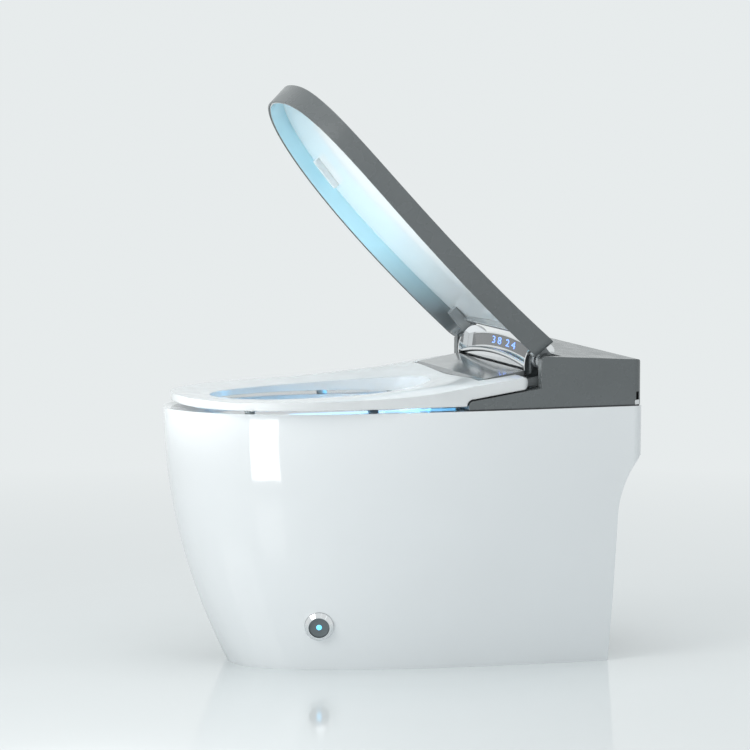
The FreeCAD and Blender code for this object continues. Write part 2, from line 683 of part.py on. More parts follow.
def make_bolts():
    bolts = []
    nuts = []
    under = "rim_height - deck_thickness"
    for side, sign in (("left", "0 - "), ("right", "0 + ")):
        spot = (sign + "bolt_x", BOLT_Y, TRAY_TOP)
        tail = "(0 - bolt_length)"
        points = [
            ("0", tail), ("bolt_radius", tail), ("bolt_radius", "0"), ("bolt_head", "0"),
            ("bolt_head", "bolt_head / 2"), ("0", "bolt_head / 2"),
        ]
        bolts.append(turned(f"bolt_{side}", points, spot=spot))
        spot = (sign + "bolt_x", BOLT_Y, under)
        bore = "bolt_radius + slide_gap"
        nut = [(bore, "0 - bolt_head"), ("nut_half", "0 - bolt_head"), ("nut_half", "0"), (bore, "0")]
        nuts.append(turned(f"nut_{side}", nut, spot=spot))
    node("mounting_bolts", fuse("mounting_bolts", *bolts))
    node("mounting_nuts", fuse("mounting_nuts", *nuts))


# Apron between the side tongues
def nozzle_axis():
    """The wash nozzle's tip when parked, and its direction towards the rear."""
    slope = math.radians(num("nozzle_angle"))
    park = num("nozzle_park")
    y = num(REAR + " - apron_reach") + park
    z = num(BASE + " + nozzle_rise") + park * math.tan(slope)
    return Vector(0, y, z), Vector(0, math.cos(slope), math.sin(slope))


def apron_path(inset):
    """The apron's side outline, or the outline of the space inside its wall."""
    base = num(BASE)
    front = num(REAR + " - apron_reach")
    end = num(HINGE_Y + " - trim_front - seat_gap")
    nose = base + num("apron_nose_rise")
    step = front + num("apron_step")
    past = num("cut_past") if inset else 0
    floor = base - past
    back = end + past
    return [
        (front + inset, floor),
        (front + inset, nose - inset),
        (front + num("nose_run") + inset / 3, nose + num("nose_slope") - inset),
        (step + inset, nose + num("nose_slope + nose_lift") - inset),
        (step + inset, base + num("apron_step_rise")),
        (step + num("apron_lead") + inset / 2, base + num("apron_top_rise") - inset),
        (back, base + num("apron_end_rise") - inset),
        (back, floor),
    ]


def make_apron():
    wall = num("apron_wall")
    past = num("cut_past")
    half = num(COVER_IN + " - seat_gap")
    front = num(REAR + " - apron_reach")
    tip, along = nozzle_axis()
    start = tip - along * (2 * num("nozzle_park") + 2 * wall)
    channel = Part.makeCylinder(num("nozzle_radius + slot_gap / 2"), NEAR, start, along)
    fan_x = num("fan_x")
    reach = num("duct_width / 2 - duct_wall")
    low = num(TRAY_TOP)
    vent = block((fan_x - reach, fan_x + reach), (front - past, front + wall + past), (low, low + 2 * wall))
    inner = side_prism(apron_path(wall), wall - half, half - wall)
    solid_node("front_apron", side_prism(apron_path(0), -half, half).cut([inner, channel, vent]))
    node("bowl_light", box(
        "bowl_light", ("0 - light_bar_x - light_bar_half", "light_bar_half - light_bar_x"),
        (REAR + " - apron_reach - light_bar_depth", REAR + " - apron_reach"),
        (BASE + " + light_bar_lift", BASE + " + light_bar_lift + light_bar_height"),
    ))


# Console on the hinge line
def arched(path, half):
    """A (Y, Z) outline swept sideways along the console's arch, trimmed to half a width each way."""
    span = num("console_half")
    sag = num("arch_sag")
    radius = (span ** 2 + sag ** 2) / (2 * sag)
    centre = Vector(0, 0, num(BASE + " + arch_top") - radius)
    turn = math.degrees(math.asin(span / radius))
    face = Part.Face(path_wire(path, lambda point: Vector(0, point[0], point[1])))
    face.rotate(centre, Vector(0, 1, 0), -turn)
    arch = face.revolve(centre, Vector(0, 1, 0), 2 * turn)
    return arch.common(block((-half, half), (-FAR, FAR), (-FAR, FAR)))


def window_slab(lift, depth, gap):
    """A slab on the slanted display window, from a lift above its face to a depth behind it."""
    y = num(HINGE_Y)
    base = num(BASE)
    low = Vector(0, y - num("window_low_back"), base + num("window_low"))
    top = Vector(0, y - num("window_top_back"), base + num("arch_top"))
    up = (top - low).normalize()
    back = Vector(0, up.z, -up.y)
    first = low + up * (num("lens_margin") - gap)
    last = top - up * (num("lens_margin") - gap)
    corners = [first - back * lift, last - back * lift, last + back * depth, first + back * depth]
    return arched([(corner.y, corner.z) for corner in corners], num("lens_half") + gap)


def bezel_form():
    y = num(HINGE_Y)
    base = num(BASE)
    back = y + num("hinge_room - seat_gap")
    low = base + num("arch_low")
    top = base + num("arch_top")
    lip = num("lip_round")
    lip_top = base + num("window_low")
    lip_back = y - num("lip_back")
    path = [
        (back, low), (back, top), (y - num("window_top_back"), top),
        (y - num("window_low_back"), lip_top), (lip_back, lip_top),
        ((y - num("lip_front"), lip_top - lip), (lip_back, lip_top - 2 * lip)), (lip_back, low),
    ]
    return arched(path, num("console_half - trim_width - seat_gap"))


def make_console():
    y = num(HINGE_Y)
    z = num(HINGE_Z)
    wall = num("bezel_wall")
    half = num("console_half - trim_width - seat_gap")
    past = num("cut_past")
    boss = num("drive_boss") + past
    top = num(BASE + " + arch_top - arch_sag") - wall
    cavity = block((wall - half, half - wall), (y - wall, FAR), (0, top))
    rooms = both_sides(block((num("lens_half") + wall, half + past), (y - boss, FAR), (0, z + boss)))
    tools = [cavity, window_slab(wall, num("lens_thickness + slide_gap"), num("slide_gap"))]
    solid_node("display_bezel", bezel_form().cut(tools + rooms))
    solid_node("display_lens", window_slab(0, num("lens_thickness"), 0))
    board = box(
        "display_board", ("0 - board_half", "board_half"),
        (HINGE_Y + " - bezel_wall + seat_gap", HINGE_Y + " - bezel_wall + seat_gap + board_thickness"),
        (BASE + " + arch_low + bezel_wall", BASE + " + arch_top - arch_sag - 2 * bezel_wall"),
    )
    node("display_board", board)
    for side, sign in (("left", -1), ("right", 1)):
        solid_node(f"hinge_trim_{side}", trim_form(sign))


def trim_form(sign):
    """A bright end plate of the console, with a bowed front edge, round the hinge shaft."""
    y = num(HINGE_Y)
    base = num(BASE)
    back = y + num("hinge_room - seat_gap")
    low = base + num("trim_low")
    top = base + num("trim_top")
    start = (y - num("trim_low_run"), low)
    end = (y - num("trim_top_run"), top - num("trim_bevel"))
    middle = (y - num("trim_front"), (start[1] + end[1]) / 2)
    crest = ((y, top), (back, base + num("arch_top - arch_sag")))
    path = [start, (middle, end), crest, (back, low)]
    outer = sign * num("console_half")
    inner = sign * num("console_half - trim_width")
    plate = side_prism(path, min(outer, inner), max(outer, inner))
    start = Vector(-FAR, y, num(HINGE_Z))
    return plate.cut(Part.makeCylinder(num("shaft_radius + seat_gap"), 2 * FAR, start, Vector(1, 0, 0)))


# Drives and shafts on the hinge line
def span(low, high, sign):
    """A stretch along X given by two formulas, on the near side or mirrored to the far one."""
    return (f"({low})", f"({high})") if sign > 0 else (f"0 - ({high})", f"0 - ({low})")


def make_drives():
    boss_end = "(console_half - trim_width - cut_past)"
    rear = HINGE_Y + " + drive_lead + drive_depth"
    under = HINGE_Z + " - drive_height"
    for name, sign in (("lid_drive", 1), ("seat_drive", -1)):
        case = box(
            name + "_case", span(boss_end + " - drive_width", boss_end, sign),
            (HINGE_Y + " + drive_lead", rear), (under, HINGE_Z),
        )
        leg = box(
            name + "_leg", span(boss_end + " - drive_width / 2", boss_end + " - drive_width / 10", sign),
            (rear + " - drive_depth / 2", rear + " - drive_depth / 5"), (TRAY_TOP, under),
        )
        start = span(boss_end + " - drive_boss_length", boss_end, sign)[0]
        boss = rod(name + "_boss", "x", (start, HINGE_Y, HINGE_Z), "drive_boss", "drive_boss_length")
        socket_low, socket_high = span("console_half - shaft_socket - seat_gap", "console_half", sign)
        socket = rod(
            name + "_socket", "x", (socket_low, HINGE_Y, HINGE_Z), "shaft_radius + running_gap",
            f"({socket_high}) - ({socket_low})",
        )
        node(name, cut(name, fuse(name + "_solid", case, leg, boss), socket))
    length = CHEEK_IN + " + shaft_end - console_half + shaft_socket"
    points = [("0", "0"), ("shaft_radius", "0"), ("shaft_radius", length), ("0", length)]
    node("lid_shaft", turned("lid_shaft", points, "x", ("console_half - shaft_socket", HINGE_Y, HINGE_Z)))
    start = "0 - (" + CHEEK_IN + " + shaft_end)"
    node("seat_shaft", turned("seat_shaft", points, "x", (start, HINGE_Y, HINGE_Z)))


# Seat and lid share the bowed line where they meet
def bow(y):
    """Height of the line along the seat that the lid comes down to."""
    front = num(FRONT + " + seat_front_gap")
    rear = num(HINGE_Y + " - seat_end")
    share = (y - front) / (rear - front)
    low = num("rim_height + seat_front_height")
    high = num("rim_height + seat_rear_height")
    return low + (high - low) * share - 4 * num("seat_sag") * share * (1 - share)


def seat_top(x, y):
    """Height of the seat's top, hollowed towards its opening and lower at its outer edge and front."""
    front = num(FRONT + " + seat_front_gap")
    rear = num(HINGE_Y + " - seat_end")
    middle = num(SEAT_OPEN_Y)
    across = x / num("seat_open_width / 2")
    along = (y - middle) / num(SEAT_OPEN_HALF)
    fade = 1 + math.exp(DISH_FADE * (across ** 2 + along ** 2 - 1))
    outwards = (x / num("seat_half")) ** 2 + (min(y - middle, 0) / (middle - front)) ** 2
    ahead = (rear - y) / (rear - front)
    fall = num("seat_edge_drop") * outwards ** EDGE_POWER + num("seat_front_drop") * ahead ** 2
    return bow(y) - num("seat_below_line") - 2 * num("seat_dish") / fade - fall


def seat_rear_low(y):
    """Height of the seat's underside over the straight part of the tongues."""
    shoulder_y, shoulder_z = tongue_nose(0)[2]
    slope = num("tongue_rear_rise - shoulder_rise") / (num(REAR + " - cheek_setback") - shoulder_y)
    return shoulder_z + num("seat_over_tongue") + slope * (y - shoulder_y)


def seat_low_path(lift):
    """The seat's underside, lifted by a height: level, then round the tongue's nose, then straight."""
    low = num("rim_height + seat_rise") + lift
    corners = [Vector(0, y, z) for y, z in tongue_nose(0)]
    nose = Part.Arc(*corners).toShape().Curve
    grow = num("seat_over_tongue") + lift
    outer = [point + (point - nose.Center).normalize() * grow for point in corners]
    start = nose.Center.y - math.sqrt((nose.Radius + grow) ** 2 - (low - nose.Center.z) ** 2)
    end = num(HINGE_Y + " - seat_end - seat_end_round")
    return [
        (-FAR, low), (start, low), ((outer[1].y, outer[1].z), (outer[2].y, outer[2].z)),
        (end, seat_rear_low(end) + lift),
    ]


def seat_plan(inset):
    half = num("seat_half") - inset
    front = num(FRONT + " + seat_front_gap") + inset
    rear = num(HINGE_Y + " - seat_end + seat_over_tongue") - inset
    wire = plan_wire(half, front, rear, num("lid_corner"), SEAT_POWERS, 0)
    return Part.Face(wire).extrude(Vector(0, 0, FAR))


def seat_opening(grow):
    half_x = num("seat_open_width / 2") + grow
    wire = ring_wire(num(SEAT_OPEN_Y), half_x, num(SEAT_OPEN_HALF) + grow, 0)
    return Part.Face(wire).extrude(Vector(0, 0, FAR))


def seat_rear_cut():
    """The space in front of the console, between the seat's two rear ends."""
    half = num("console_half + seat_bridge_gap")
    y = num(REAR + " - apron_reach + apron_step - seat_bridge_gap")
    return block((-half, half), (y, FAR), (0, FAR))


def seat_web(grow):
    """The solid web between the seat's opening and the console, with a margin all round."""
    half = num("console_half + seat_bridge_gap") + grow
    y = num(REAR + " - apron_reach - seat_bridge_gap") - grow
    return block((-half, half), (y, FAR), (0, FAR))


def apron_room():
    """The space over the apron's nose, under the seat's web."""
    half = num("console_half + seat_bridge_gap")
    gap = num("seat_bridge_gap")
    front = num(REAR + " - apron_reach")
    nose = num(BASE + " + apron_nose_rise") + gap
    slope = nose + num("nose_slope")
    step = front + num("apron_step")
    path = [
        (front - gap, 0), (front - gap, nose), (front + num("nose_run"), slope),
        (step, slope + num("nose_lift")), (step, 0),
    ]
    return side_prism(path, -half, half)


def seat_side(lift):
    """The seat's side outline as a prism, with its round rear end."""
    points = seat_low_path(lift)
    end_y, end_z = points[-1]
    turn = num("seat_end_round")
    path = points + [((end_y + turn, end_z + turn), (end_y, end_z + 2 * turn)), (end_y, FAR), (-FAR, FAR)]
    return side_prism(path, -FAR, FAR)


def seat_arm_spans():
    low = num(SEAT_ARM_IN)
    return low, low + num("seat_arm_width")


def make_seat():
    wall = num("seat_wall")
    gap = num("seat_gap")
    low, high = seat_arm_spans()
    end = num(HINGE_Y + " - seat_end - seat_end_round")
    spaces = [seat_opening(0), seat_rear_cut(), apron_room(), region(seat_top, FAR)]
    form = seat_plan(0).common(seat_side(0)).cut(spaces)
    cavity = seat_plan(wall).common(block((-FAR, FAR), (-FAR, end), (0, FAR)))
    under = region(lambda x, y: seat_top(x, y) - wall, FAR)
    cavity = cavity.cut([seat_opening(wall), seat_web(wall), under])
    slot = (end - num("cut_past"), FAR)
    slots = both_sides(block((low - gap, high + gap), slot, (0, seat_top(high, end) - wall)))
    solid_node("seat_top", form.cut([cavity] + slots))
    floor = seat_side(0).cut(seat_side(num("seat_floor")))
    floor = floor.common(seat_plan(wall + gap)).common(block((-FAR, FAR), (-FAR, end - gap), (0, FAR)))
    solid_node("seat_base", floor.cut([seat_opening(wall + gap), seat_web(wall + gap)]))
    inset = num("heater_inset")
    rear = num(REAR + " - tongue_reach - heater_rear_gap")
    foil = seat_plan(inset).common(block((-FAR, FAR), (-FAR, rear), (0, FAR)))
    depth = wall + gap
    foil = foil.cut([
        seat_opening(inset), region(lambda x, y: seat_top(x, y) - depth, FAR),
        region(lambda x, y: seat_top(x, y) - depth - num("heater_thickness"), -FAR),
    ])
    solid_node("seat_heater", foil)
    make_seat_arms()
    make_buffers()


def make_seat_arms():
    low, high = seat_arm_spans()
    y = num(HINGE_Y)
    z = num(HINGE_Z)
    radius = num("seat_arm_radius")
    gap = num("seat_gap")
    wall = num("seat_wall")
    floor = num("seat_floor") + gap
    end_y = num(HINGE_Y + " - seat_end - seat_end_round")
    start_y = end_y - num("seat_arm_run")
    tail_y = num(HINGE_Y + " - seat_end + seat_over_tongue")
    top = seat_top(high, end_y) - wall - 2 * gap
    foot = num(BASE + " + pocket_rise + seat_arm_lift")
    path = [
        (start_y, seat_rear_low(start_y) + floor), (end_y, seat_rear_low(end_y) + floor), (y, foot),
        (y + radius, foot + radius / 4), (y + radius, z), (y - radius, z), (y - radius, foot + radius),
        (tail_y, top), (end_y, top), (start_y, seat_top(high, start_y) - wall - 2 * gap),
    ]
    bore = Part.makeCylinder(num("shaft_radius + running_gap"), 2 * FAR, Vector(-FAR, y, z), Vector(1, 0, 0))
    for side, sign in (("left", -1), ("right", 1)):
        xs = sorted((sign * low, sign * high))
        disc = Part.makeCylinder(radius, high - low, Vector(xs[0], y, z), Vector(1, 0, 0))
        solid_node(f"seat_arm_{side}", side_prism(path, *xs).fuse(disc).cut(bore))


def make_buffers():
    pads = []
    places = {"front": FRONT + " + front_buffer_setback", "rear": REAR + " - rear_buffer_setback"}
    for end, along in places.items():
        for side, sign in (("left", "0 - "), ("right", "0 + ")):
            spot = (f"{sign}{end}_buffer_x", along, "rim_height + seat_gap")
            height = "seat_rise - seat_gap"
            points = [
                ("0", "0"), ("buffer_radius - buffer_bevel", "0"), ("buffer_radius", "buffer_bevel"),
                ("buffer_radius", height), ("0", height),
            ]
            pads.append(turned(f"buffer_{end}_{side}", points, spot=spot))
    node("seat_buffers", fuse("seat_buffers", *pads))


# Lid, drawn closed and then turned up to its rest angle
def lid_top(x, y):
    """Height of the lid's outer face: a saddle along its length with a crown across it."""
    front = num(FRONT + " + lid_front_gap")
    rear = num(REAR + " - cheek_setback - lid_rear_gap")
    share = (y - front) / (rear - front)
    ends = [
        bow(front) + num("lid_front_height"),
        bow((front + rear) / 2) + num("lid_mid_height"),
        bow(rear) + num("lid_rear_height"),
    ]
    dip = 2 * (ends[0] + ends[2] - 2 * ends[1])
    line = ends[0] + (ends[2] - ends[0]) * share - dip * share * (1 - share)
    return line + num("lid_crown") * (1 - (x / num("lid_half")) ** 2)


def lid_form(inset):
    """The lid's outline as a prism that flares upwards, moved inwards by the inset."""
    low = num("rim_height")
    high = low + num("3 * seat_rear_height")
    wires = []
    for z in (low, high):
        grow = (z - num("rim_height + seat_rear_height")) * num("lid_flare") - inset
        front = num(FRONT + " + lid_front_gap") - grow
        rear = num(REAR + " - cheek_setback - lid_rear_gap") - inset
        wires.append(plan_wire(num("lid_half") + grow, front, rear, num("lid_corner"), SEAT_POWERS, z))
    return Part.makeLoft(wires, True, True)


def notch_corner():
    """Half the width of the lid's notch for the console, and where the notch starts along Y."""
    return num("console_half + arm_gap / 2"), num(REAR + " - cheek_setback - lid_rear_gap - lid_notch_run")


def lid_notch(grow):
    """The space for the console at the lid's rear."""
    half, sill = notch_corner()
    return block((-half, half), (sill - grow, FAR), (0, FAR))


def lid_placement():
    centre = Vector(0, num(HINGE_Y), num(HINGE_Z))
    return Placement(Vector(), Rotation(Vector(1, 0, 0), -num("lid_rest_angle")), centre)


def lid_body(inset, above, below):
    """The lid's form moved inwards by an inset, between two surfaces given as heights over (X, Y)."""
    return lid_form(inset).cut([region(above, FAR), region(below, -FAR), lid_notch(inset)])


def make_lid():
    wall = num("lid_wall")
    gap = num("seat_gap")
    inside = wall + gap
    liner = inside + num("liner_thickness")
    rest = lid_placement()
    arm_low = num(LID_ARM_IN) - gap
    arm_high = arm_low + num("lid_arm_width") + 2 * gap
    rear = num(REAR + " - cheek_setback - lid_rear_gap")
    arm_top = num(HINGE_Z + " + lid_arm_radius")
    slots = both_sides(block((arm_low, arm_high), (rear - liner - gap, FAR), (0, arm_top + gap)))
    half, sill = notch_corner()
    slots.append(block((-half, half), (sill - liner - gap, FAR), (0, num(HINGE_Z + " + lid_notch_lift"))))

    def under(depth):
        return lambda x, y: lid_top(x, y) - depth

    def over(depth):
        return lambda x, y: bow(y) + depth

    low = -num("rim_height")
    shell = lid_body(0, under(0), over(0)).cut([lid_body(wall, under(wall), over(low))] + slots)
    solid_node("lid_shell", shell, rest)
    tray = lid_body(inside, under(inside), over(num("liner_recess")))
    tray = tray.cut([lid_body(liner, under(liner), over(low))] + slots)
    solid_node("lid_liner", tray, rest)
    start = num(FRONT + " + bumper_setback")
    inset = num("bumper_inset")
    strip = lid_form(inset - num("bumper_width / 2")).cut(lid_form(inset + num("bumper_width / 2")))
    strip = strip.common(block((-FAR, FAR), (start, start + num("bumper_length")), (0, FAR)))
    foot = liner + gap
    strip = strip.cut([region(under(foot), FAR), region(under(foot + num("bumper_height")), -FAR)])
    solid_node("lid_bumpers", strip, rest)
    make_lid_arms(region(under(foot), FAR), rest)


def make_lid_arms(ceiling, rest):
    y = num(HINGE_Y)
    z = num(HINGE_Z)
    low = num(LID_ARM_IN)
    high = low + num("lid_arm_width")
    radius = num("lid_arm_radius")
    bore = Part.makeCylinder(num("shaft_radius + running_gap"), 2 * FAR, Vector(-FAR, y, z), Vector(1, 0, 0))
    for side, sign in (("left", -1), ("right", 1)):
        xs = sorted((sign * low, sign * high))
        bar = block(xs, (y - num("lid_arm_run"), y), (z - num("lid_arm_low"), z + radius))
        disc = Part.makeCylinder(radius, high - low, Vector(xs[0], y, z), Vector(1, 0, 0))
        solid_node(f"lid_arm_{side}", bar.cut(ceiling).fuse(disc).cut(bore), rest)


# Wash nozzle
def make_nozzle():
    tip, along = nozzle_axis()
    frame = Placement(tip, Rotation(Vector(0, 0, 1), along))
    head = [
        ("0", "0"), ("nozzle_radius - nozzle_bevel", "0"), ("nozzle_radius", "nozzle_bevel"),
        ("nozzle_radius", "nozzle_tip_length"), ("0", "nozzle_tip_length"),
    ]
    bore = "nozzle_radius / 2"
    tube = [
        (bore, "nozzle_tip_length"), ("nozzle_radius", "nozzle_tip_length"),
        ("nozzle_radius", "nozzle_length"), (bore, "nozzle_length"),
    ]
    for name, points in (("nozzle_tip", head), ("wash_nozzle", tube)):
        body = turned(name, points)
        body.Placement = frame
        node(name, body)
    outer = num("nozzle_radius + slide_gap + guide_wall")
    start = tip + along * num("guide_start")
    sleeve = Part.makeCylinder(outer, num("guide_length"), start, along)
    clear = Part.makeCylinder(num("nozzle_radius + slide_gap"), FAR, tip - along * FAR / 2, along)
    floor = num(TRAY_TOP)
    half = num("foot_width / 2")
    feet = []
    for run in (num("foot_inset"), num("guide_length - foot_inset")):
        spot = start + along * run
        feet.append(block((-half, half), (spot.y - half, spot.y + half), (floor, spot.z)))
    solid_node("nozzle_guide", sleeve.fuse(feet).cut(clear))
    middle = start + along * num("guide_length") / 2
    side = outer + num("seat_gap")
    motor = Part.makeCylinder(
        num("motor_radius"), num("motor_length"),
        Vector(side, middle.y, floor + num("motor_radius")), Vector(1, 0, 0),
    )
    solid_node("nozzle_motor", motor)


# Dryer
def make_dryer():
    spot = ("fan_x", FAN_Y, TRAY_TOP)
    inner_floor = TRAY_TOP + " + fan_wall"
    inner = ("fan_x", FAN_Y, inner_floor)
    case = rod("fan_case", "z", spot, "fan_radius", "fan_height")
    room = rod("fan_room", "z", inner, "fan_radius - fan_wall", "fan_height - 2 * fan_wall")
    inlet = rod("fan_inlet", "z", inner, "rotor_radius - fan_wall", "fan_height")
    inside = "duct_width / 2 - duct_wall"
    across = (f"fan_x - ({inside})", f"fan_x + {inside}")
    ceiling = TRAY_TOP + " + duct_height - duct_wall"
    mouth_span = (FAN_Y + " - fan_radius - cut_past", FAN_Y)
    mouth = box("fan_mouth", across, mouth_span, (inner_floor, ceiling))
    node("dryer_fan_case", cut("dryer_fan_case", case, room, inlet, mouth))
    can = rod("fan_can", "z", inner, "fan_motor_radius", "fan_motor_height")
    axle = rod("fan_axle", "z", inner, "axle_radius", "fan_height - 2 * fan_wall - seat_gap")
    node("dryer_fan_motor", fuse("dryer_fan_motor", can, axle))
    make_rotor(inner_floor + " + fan_motor_height + seat_gap")
    rear = FAN_Y + " - fan_radius - seat_gap"
    front = REAR + " - tray_reach + duct_wall"
    shell = box(
        "duct_shell", ("fan_x - duct_width / 2", "fan_x + duct_width / 2"), (front, rear),
        (TRAY_TOP, TRAY_TOP + " + duct_height"),
    )
    duct_span = (front + " - cut_past", rear + " + cut_past")
    hollow = box("duct_hollow", across, duct_span, (TRAY_TOP + " + duct_wall", ceiling))
    node("dryer_duct", cut("dryer_duct", shell, hollow))


def make_rotor(floor):
    bore = "(axle_radius + running_gap)"
    plate = "(2 * blade_thickness)"
    points = [
        (bore, "0"), ("rotor_radius", "0"), ("rotor_radius", plate), ("rotor_hub", plate),
        ("rotor_hub", "rotor_height"), (bore, "rotor_height"),
    ]
    body = turned("dryer_fan_rotor", points, spot=("fan_x", FAN_Y, floor))
    half = "blade_thickness / 2"
    start = "rotor_hub + blade_gap"
    end = "rotor_radius - slide_gap"
    corners = [(start, "0 - " + half), (end, "0 - " + half), (end, half), (start, half)]
    sketch = sketch_in(body, "XY_Plane", corners)
    blade = body.newObject("PartDesign::Pad", "rotor_blade")
    blade.Profile = sketch
    blade.setExpression("Length", bound("rotor_height"))
    DOC.recompute()
    pattern = body.newObject("PartDesign::PolarPattern", "rotor_blades")
    pattern.Originals = [blade]
    pattern.Axis = (sketch, ["N_Axis"])
    pattern.Angle = 360
    pattern.setExpression("Occurrences", bound("blade_count"))
    body.Tip = pattern
    node("dryer_fan_rotor", body)


# Water and power units on the tray
def make_units(bowl_outer):
    back = REAR + " - module_setback"
    node("water_heater", box(
        "water_heater", ("0 - heater_x - heater_width / 2", "0 - heater_x + heater_width / 2"),
        (back + " - heater_length", back), (TRAY_TOP, TRAY_TOP + " + heater_height"),
    ))
    pump_z = TRAY_TOP + " + pump_base + pump_radius"
    pump_spot = ("0 - pump_x", back + " - pump_length", pump_z)
    barrel = rod("pump_barrel", "y", pump_spot, "pump_radius", "pump_length")
    foot = box(
        "pump_foot", ("0 - pump_x - pump_radius / 2", "0 - pump_x + pump_radius / 2"),
        (back + " - pump_length", back), (TRAY_TOP, pump_z),
    )
    node("flush_pump", fuse("flush_pump", barrel, foot))
    valve = box(
        "valve_case", ("valve_x - valve_width / 2", "valve_x + valve_width / 2"),
        (back + " - valve_length", back), (TRAY_TOP, TRAY_TOP + " + valve_height"),
    )
    coil_spot = ("valve_x", REAR + " - coil_setback", TRAY_TOP + " + valve_height")
    solenoid = rod("valve_coil", "z", coil_spot, "valve_width / 4", "valve_height / 4")
    node("inlet_valve", fuse("inlet_valve", valve, solenoid))
    low = "(0 - inlet_drop)"
    shank = "(0 - inlet_drop + inlet_thread)"
    collar = "(0 - gasket_thickness - tray_floor - deck_thickness)"
    pipe = [
        ("inlet_bore", low), ("inlet_radius", low), ("inlet_radius", shank), ("inlet_shank", shank),
        ("inlet_shank", collar), ("inlet_collar", collar), ("inlet_collar", "0"), ("inlet_bore", "0"),
    ]
    node("inlet_pipe", turned("inlet_pipe", pipe, spot=("valve_x", INLET_Y, TRAY_TOP)))
    make_hose(bowl_outer)
    left = "0 - power_width / 2"
    right = "power_width / 2"
    top = TRAY_TOP + " + power_height"
    power = box("power_case", (left, right), (back + " - power_length", back), (TRAY_TOP, top))
    posts = []
    for across in ("0 - power_width / 2 + post_inset", "power_width / 2 - post_inset"):
        for along in (" - post_inset", " - power_length + post_inset"):
            name = f"power_post_{len(posts)}"
            posts.append(rod(name, "z", (across, back + along, top), "post_radius", "control_lift"))
    node("power_module", fuse("power_module", power, *posts))
    level = top + " + control_lift"
    card_top = level + " + board_thickness"
    card = box("control_card", (left, right), (back + " - power_length", back), (level, card_top))
    chip = box(
        "control_chip", ("0 - power_width / 5", "power_width / 5"),
        (back + " - power_length / 2", back + " - power_length / 5"),
        (card_top, card_top + " + 2 * board_thickness"),
    )
    node("control_board", fuse("control_board", card, chip))
    ring = [
        ("gland_bore", "0"), ("gland_radius", "0"), ("gland_radius", "gland_length"),
        ("gland_bore", "gland_length"),
    ]
    spot = ("0 - gland_x", REAR + " - gland_length", BASE + " + gland_rise")
    node("cord_gland", turned("cord_gland", ring, "y", spot))


def make_hose(bowl_outer):
    x = -num("pump_x")
    y = num(HOSE_Y)
    top = num(TRAY_TOP)
    bend = num("hose_bend")
    level = top - num("hose_drop")
    slant = bend * (1 - math.sqrt(0.5))
    end = num(SUMP_Y)
    corner = [Vector(x, y, level + bend), Vector(x, y - slant, level + slant), Vector(x, y - bend, level)]
    edges = [
        Part.LineSegment(Vector(x, y, top), corner[0]), Part.Arc(*corner),
        Part.LineSegment(corner[2], Vector(x, end, level)),
    ]
    spine = Part.Wire([edge.toShape() for edge in edges])
    pipes = []
    for size in ("hose_radius", "hose_bore"):
        ring = Part.Wire([Part.Circle(Vector(x, y, top), Vector(0, 0, 1), num(size)).toShape()])
        pipes.append(spine.makePipeShell([ring], True, False))
    solid_node("flush_hose", pipes[0].cut([pipes[1], bowl_outer]))


def write_parts():
    """Checks every object and sub-part, then writes one file for each sub-part."""
    DOC.recompute()
    for obj in DOC.Objects:
        if "Invalid" in obj.State or "Error" in obj.State:
            raise RuntimeError(f"{obj.Label} failed: {obj.State}")
    for obj in NODES:
        if obj.Shape.isNull() or not obj.Shape.isValid() or not obj.Shape.Solids:
            raise RuntimeError(f"{obj.Label} has no valid solid")
    os.makedirs("parts", exist_ok=True)
    for obj in NODES:
        obj.Shape.exportStep(f"parts/{obj.Label}.step")
        print(f"{obj.Label}: {len(obj.Shape.Solids)} solids, {obj.Shape.Volume / 1000:.1f} cm3")


switch_place, bowl_outer_form = make_pan()
make_foot_switch(switch_place)
make_cover()
make_service_plug()
make_tray()
make_gasket()
make_bolts()
make_apron()
make_console()
make_drives()
make_seat()
make_lid()
make_nozzle()
make_dryer()
make_units(bowl_outer_form)
write_parts()
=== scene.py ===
import json
import math

import bpy
from mathutils import Matrix, Vector


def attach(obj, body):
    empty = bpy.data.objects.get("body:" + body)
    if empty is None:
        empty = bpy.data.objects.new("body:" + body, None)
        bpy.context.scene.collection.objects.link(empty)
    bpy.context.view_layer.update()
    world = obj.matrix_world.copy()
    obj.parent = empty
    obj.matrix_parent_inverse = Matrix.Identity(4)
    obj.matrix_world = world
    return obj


# A smart toilet in a pale room: finishes, display digits, floor, lights and the photograph's camera.
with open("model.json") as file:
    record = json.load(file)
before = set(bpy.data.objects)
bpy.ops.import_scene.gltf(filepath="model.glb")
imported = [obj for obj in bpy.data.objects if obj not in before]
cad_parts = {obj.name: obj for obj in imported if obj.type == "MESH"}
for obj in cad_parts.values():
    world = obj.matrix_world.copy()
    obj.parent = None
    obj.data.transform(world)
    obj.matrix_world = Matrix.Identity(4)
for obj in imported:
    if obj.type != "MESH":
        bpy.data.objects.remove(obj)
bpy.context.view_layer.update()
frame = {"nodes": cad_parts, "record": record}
NODES = frame["nodes"]
BODY = "pan_and_housing"


